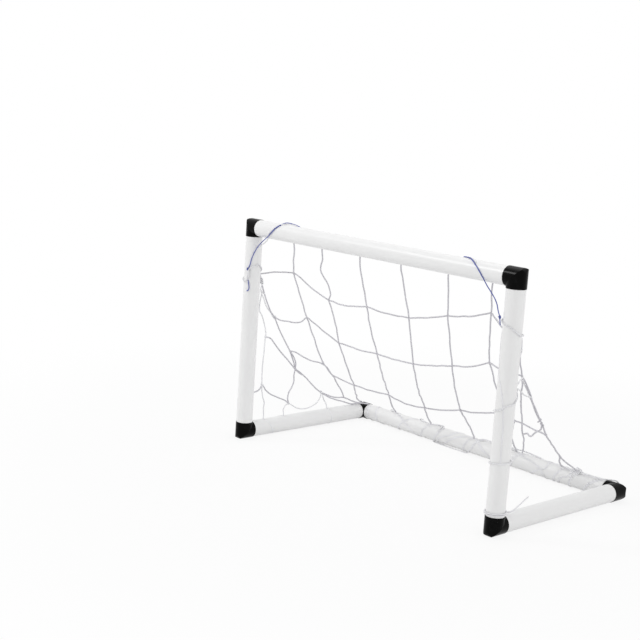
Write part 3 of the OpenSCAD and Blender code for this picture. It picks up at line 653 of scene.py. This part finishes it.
left_slack = [[(-319, -135, 290), (-325, -137, 292), (-325, -141, 297), (-320, -143, 292),
       (-319, -147, 274), (-322, -144, 256), (-322, -138, 247), (-322, -130, 228),
       (-322, -125, 209), (-322, -126, 194), (-322, -127, 172), (-322, -129, 137),
       (-322, -128, 111), (-322, -127, 94), (-322, -123, 77), (-322, -119, 67),
       (-322, -120, 54), (-322, -118.5, 42)]
    + round_side(-118, -66, 82, 82 - 360)
    + [(-322, -66, 40), (-322, -67, 47), (-322, -62, 54), (-322, -53, 57), (-322, -48, 55),
       (-322, -33, 46), (-322, -12, 41), (-322, 8, 43), (-322, 25, 50), (-322, 33, 60),
       (-322, 35, 68), (-324.5, 35, 73), (-324.5, 38, 72), (-322, 39, 66), (-322, 43, 55),
       (-322, 50, 46)]
    + round_side(56, 62, 82, 82 - 360)]
side_cord = cord_mesh("side_cord_laid", left_slack, SLACK_R, LAY_PITCH, SIDES, RING, -PRESSED,
    loops=[knot_loop((-322, -127, 104), 1.1, 3), knot_loop((-322, -125, 202), 0.75, 4),
           knot_loop((-322, -53, 57), 0.8, 5), knot_loop((-322, 35, 70), 0.75, 6)])
place_piece(side_cord, wound_lightened_white, "net_cord", "side_cord")

# ---- corner ties ----
# A blue twisted polypropylene string at each top corner. It is tied to the head cord,
# goes over the crossbar and slants down to a knot on the post, with a loose end. The
# drawn film that it is twisted from gives it a slight shine.
STRING_BLUE = "#5866bb"
# painted shade in the hollows between the string's yarns
STRING_HOLLOW_SHADE = "#39428c"
STRING_R = 1.0
STRING_PITCH = 4.0
STRING_SIDES, STRING_RING = 9, 0.7
OVER_R = 17.2            # where a string's middle goes over a tube


def on_post(side, a, z, r=OVER_R):
    """On the post's skin; 0 degrees faces the mouth's middle and -90 the front."""
    return (side * (POST_X - r * math.cos(math.radians(a))),
        FRONT_Y + r * math.sin(math.radians(a)), z)


def tie_mesh(name, route, ends, turn):
    """A tie: the string, its loose end, the knot on the post and the one on the head cord."""
    knot = np.array(route[-1])
    return cord_mesh(name, [route] + ends, STRING_R, STRING_PITCH, STRING_SIDES,
        STRING_RING,
        loops=[knot_loop(knot, 0.75, turn), knot_loop(knot + (0.6, -0.4, -1.6), 0.65, turn + 1),
               knot_loop(route[0], 0.6, turn + 2)])


blue_string = laid_cord_material("twisted_blue_polypropylene_string", STRING_BLUE,
    STRING_HOLLOW_SHADE, 0.5)
tie_left = tie_mesh("tie_left_string",
    [(-186, HEAD_Y, TOP_Z + 1.6), (-191, HEAD_Y, TOP_Z + 2)]
    + [on_bar(-1, u, a, r) for u, a, r in ((127, 150, 17.2), (120, 122, 17.4), (107, 104, 19),
        (91, 92, 19), (85, 50, 17.4), (80, 30, 17.2), (74.5, 8, 17.2), (67, -14, 17.2))]
    + [(-268, -180, 410), (-279, -177.5, 404), (-292, -174.5, 396), (-306, -174.5, 382),
       (-312.5, -178.7, 364), (-315.5, -180.8, 349), on_post(-1, -72, 342, 17.8)],
    [[on_post(-1, -72, 342, 17.8), on_post(-1, -71, 340), on_post(-1, -70, 338)],
     [on_post(-1, -67, 321), on_post(-1, -60, 312), on_post(-1, -57, 305),
      on_post(-1, -62, 300.5), on_post(-1, -74, 298.5)]], 11)
place_piece(tie_left, blue_string, "tie_string", "tie_left")
tie_right = tie_mesh("tie_right_string",
    [(186, HEAD_Y, TOP_Z + 1.6), (191, HEAD_Y, TOP_Z + 2)]
    + [on_bar(1, u, a, OVER_R) for u, a in ((127, 150), (120, 120), (108, 98), (92, 74), (79, 45),
        (70, 24), (62, 1), (56, -30))]
    + [(275, -177, 401), (284, -175.5, 391), (291, -175, 383), (297, -176, 375),
       (302, -178, 366), (307.5, -179.5, 357.7)],
    [[(307.5, -179.5, 357.7), (308.5, -179.6, 352), (309.5, -179, 344)]], 21)
place_piece(tie_right, blue_string, "tie_string", "tie_right")

# ---- floor ----
# A plain matt floor. It is white to the eye, fades into the white round about, and keeps
# the goal's soft shadow.
FLOOR_HALF = 9.0
floor_mesh = bpy.data.meshes.new("floor")
floor_mesh.from_pydata([(-FLOOR_HALF, -FLOOR_HALF, 0), (FLOOR_HALF, -FLOOR_HALF, 0),
    (FLOOR_HALF, FLOOR_HALF, 0), (-FLOOR_HALF, FLOOR_HALF, 0)], [], [(0, 1, 2, 3)])
floor = bpy.data.objects.new("floor", floor_mesh)
bpy.context.scene.collection.objects.link(floor)


def seen_directly(tree):
    """1 for what the eye sees, also by a mirror or through glass, and 0 for stray light."""
    ray = add_node(tree, "LightPath")
    plain_or_mirror = add_node(tree, "Math", links={0: ray.outputs["Is Camera Ray"],
        1: ray.outputs["Is Glossy Ray"]}, operation="MAXIMUM")
    return add_node(tree, "Math", links={0: plain_or_mirror.outputs[0],
        1: ray.outputs["Is Transmission Ray"]}, operation="MAXIMUM")


matt_floor, tree = new_material("matt_white_studio_floor")
place = add_node(tree, "TexCoord")
distance = add_node(tree, "VectorMath", links={0: place.outputs["Object"]},
    operation="LENGTH")
fade = add_node(tree, "MapRange", {"From Min": 0.45, "From Max": 1.3, "To Min": 0.86,
    "To Max": 1.0}, {"Value": distance.outputs["Value"]}, interpolation_type="SMOOTHSTEP")
share = add_node(tree, "Math", links={0: seen_directly(tree).outputs[0], 1: fade.outputs[0]},
    operation="MULTIPLY")
matt = add_node(tree, "BsdfDiffuse", {"Color": linear("#f2f2f2")})
plain = add_node(tree, "Emission", {"Color": (1, 1, 1, 1), "Strength": 1.0})
both = add_node(tree, "MixShader", links={0: share.outputs[0], 1: matt.outputs[0],
    2: plain.outputs[0]})
add_node(tree, "OutputMaterial", links={"Surface": both.outputs[0]})
floor_mesh.materials.append(matt_floor)

# ---- light ----
# A soft light high on the left front, a small one over the net, a weak one low on the
# right, and a white round about, weaker from straight above, that the eye sees as white.
LOW_LIGHT, HIGH_LIGHT = 1.19, 0.47
world = bpy.data.worlds.new("studio")
world.use_nodes = True
world.node_tree.nodes.clear()
tree = world.node_tree
ways = add_node(tree, "TexCoord")
height = add_node(tree, "SeparateXYZ", links={0: ways.outputs["Generated"]})
even = add_node(tree, "MapRange", {"To Min": LOW_LIGHT, "To Max": HIGH_LIGHT},
    {"Value": height.outputs["Z"]})
strength = add_node(tree, "MapRange", {"To Max": 1.0},
    {"Value": seen_directly(tree).outputs[0], "To Min": even.outputs[0]})
sky = add_node(tree, "Background", {"Color": (1, 1, 1, 1)}, {"Strength": strength.outputs[0]})
add_node(tree, "OutputWorld", links={"Surface": sky.outputs[0]})
bpy.context.scene.world = world

for name, place, power, size in (("key", (-1.6, -1.8, 2.2), 18, 0.6),
        ("inner", (-0.05, 0.12, 1.15), 1.8, 0.7), ("fill", (2.2, 0.4, 1.3), 5, 1.5)):
    lamp = bpy.data.lights.new(name, "AREA")
    lamp.energy, lamp.size = power, size
    light = bpy.data.objects.new(name, lamp)
    light.matrix_world = (Matrix.Translation(place)
        @ (-Matrix.Translation(place).translation).to_track_quat("-Z", "Y").to_matrix().to_4x4())
    bpy.context.scene.collection.objects.link(light)
bpy.context.scene.view_settings.view_transform = "Standard"
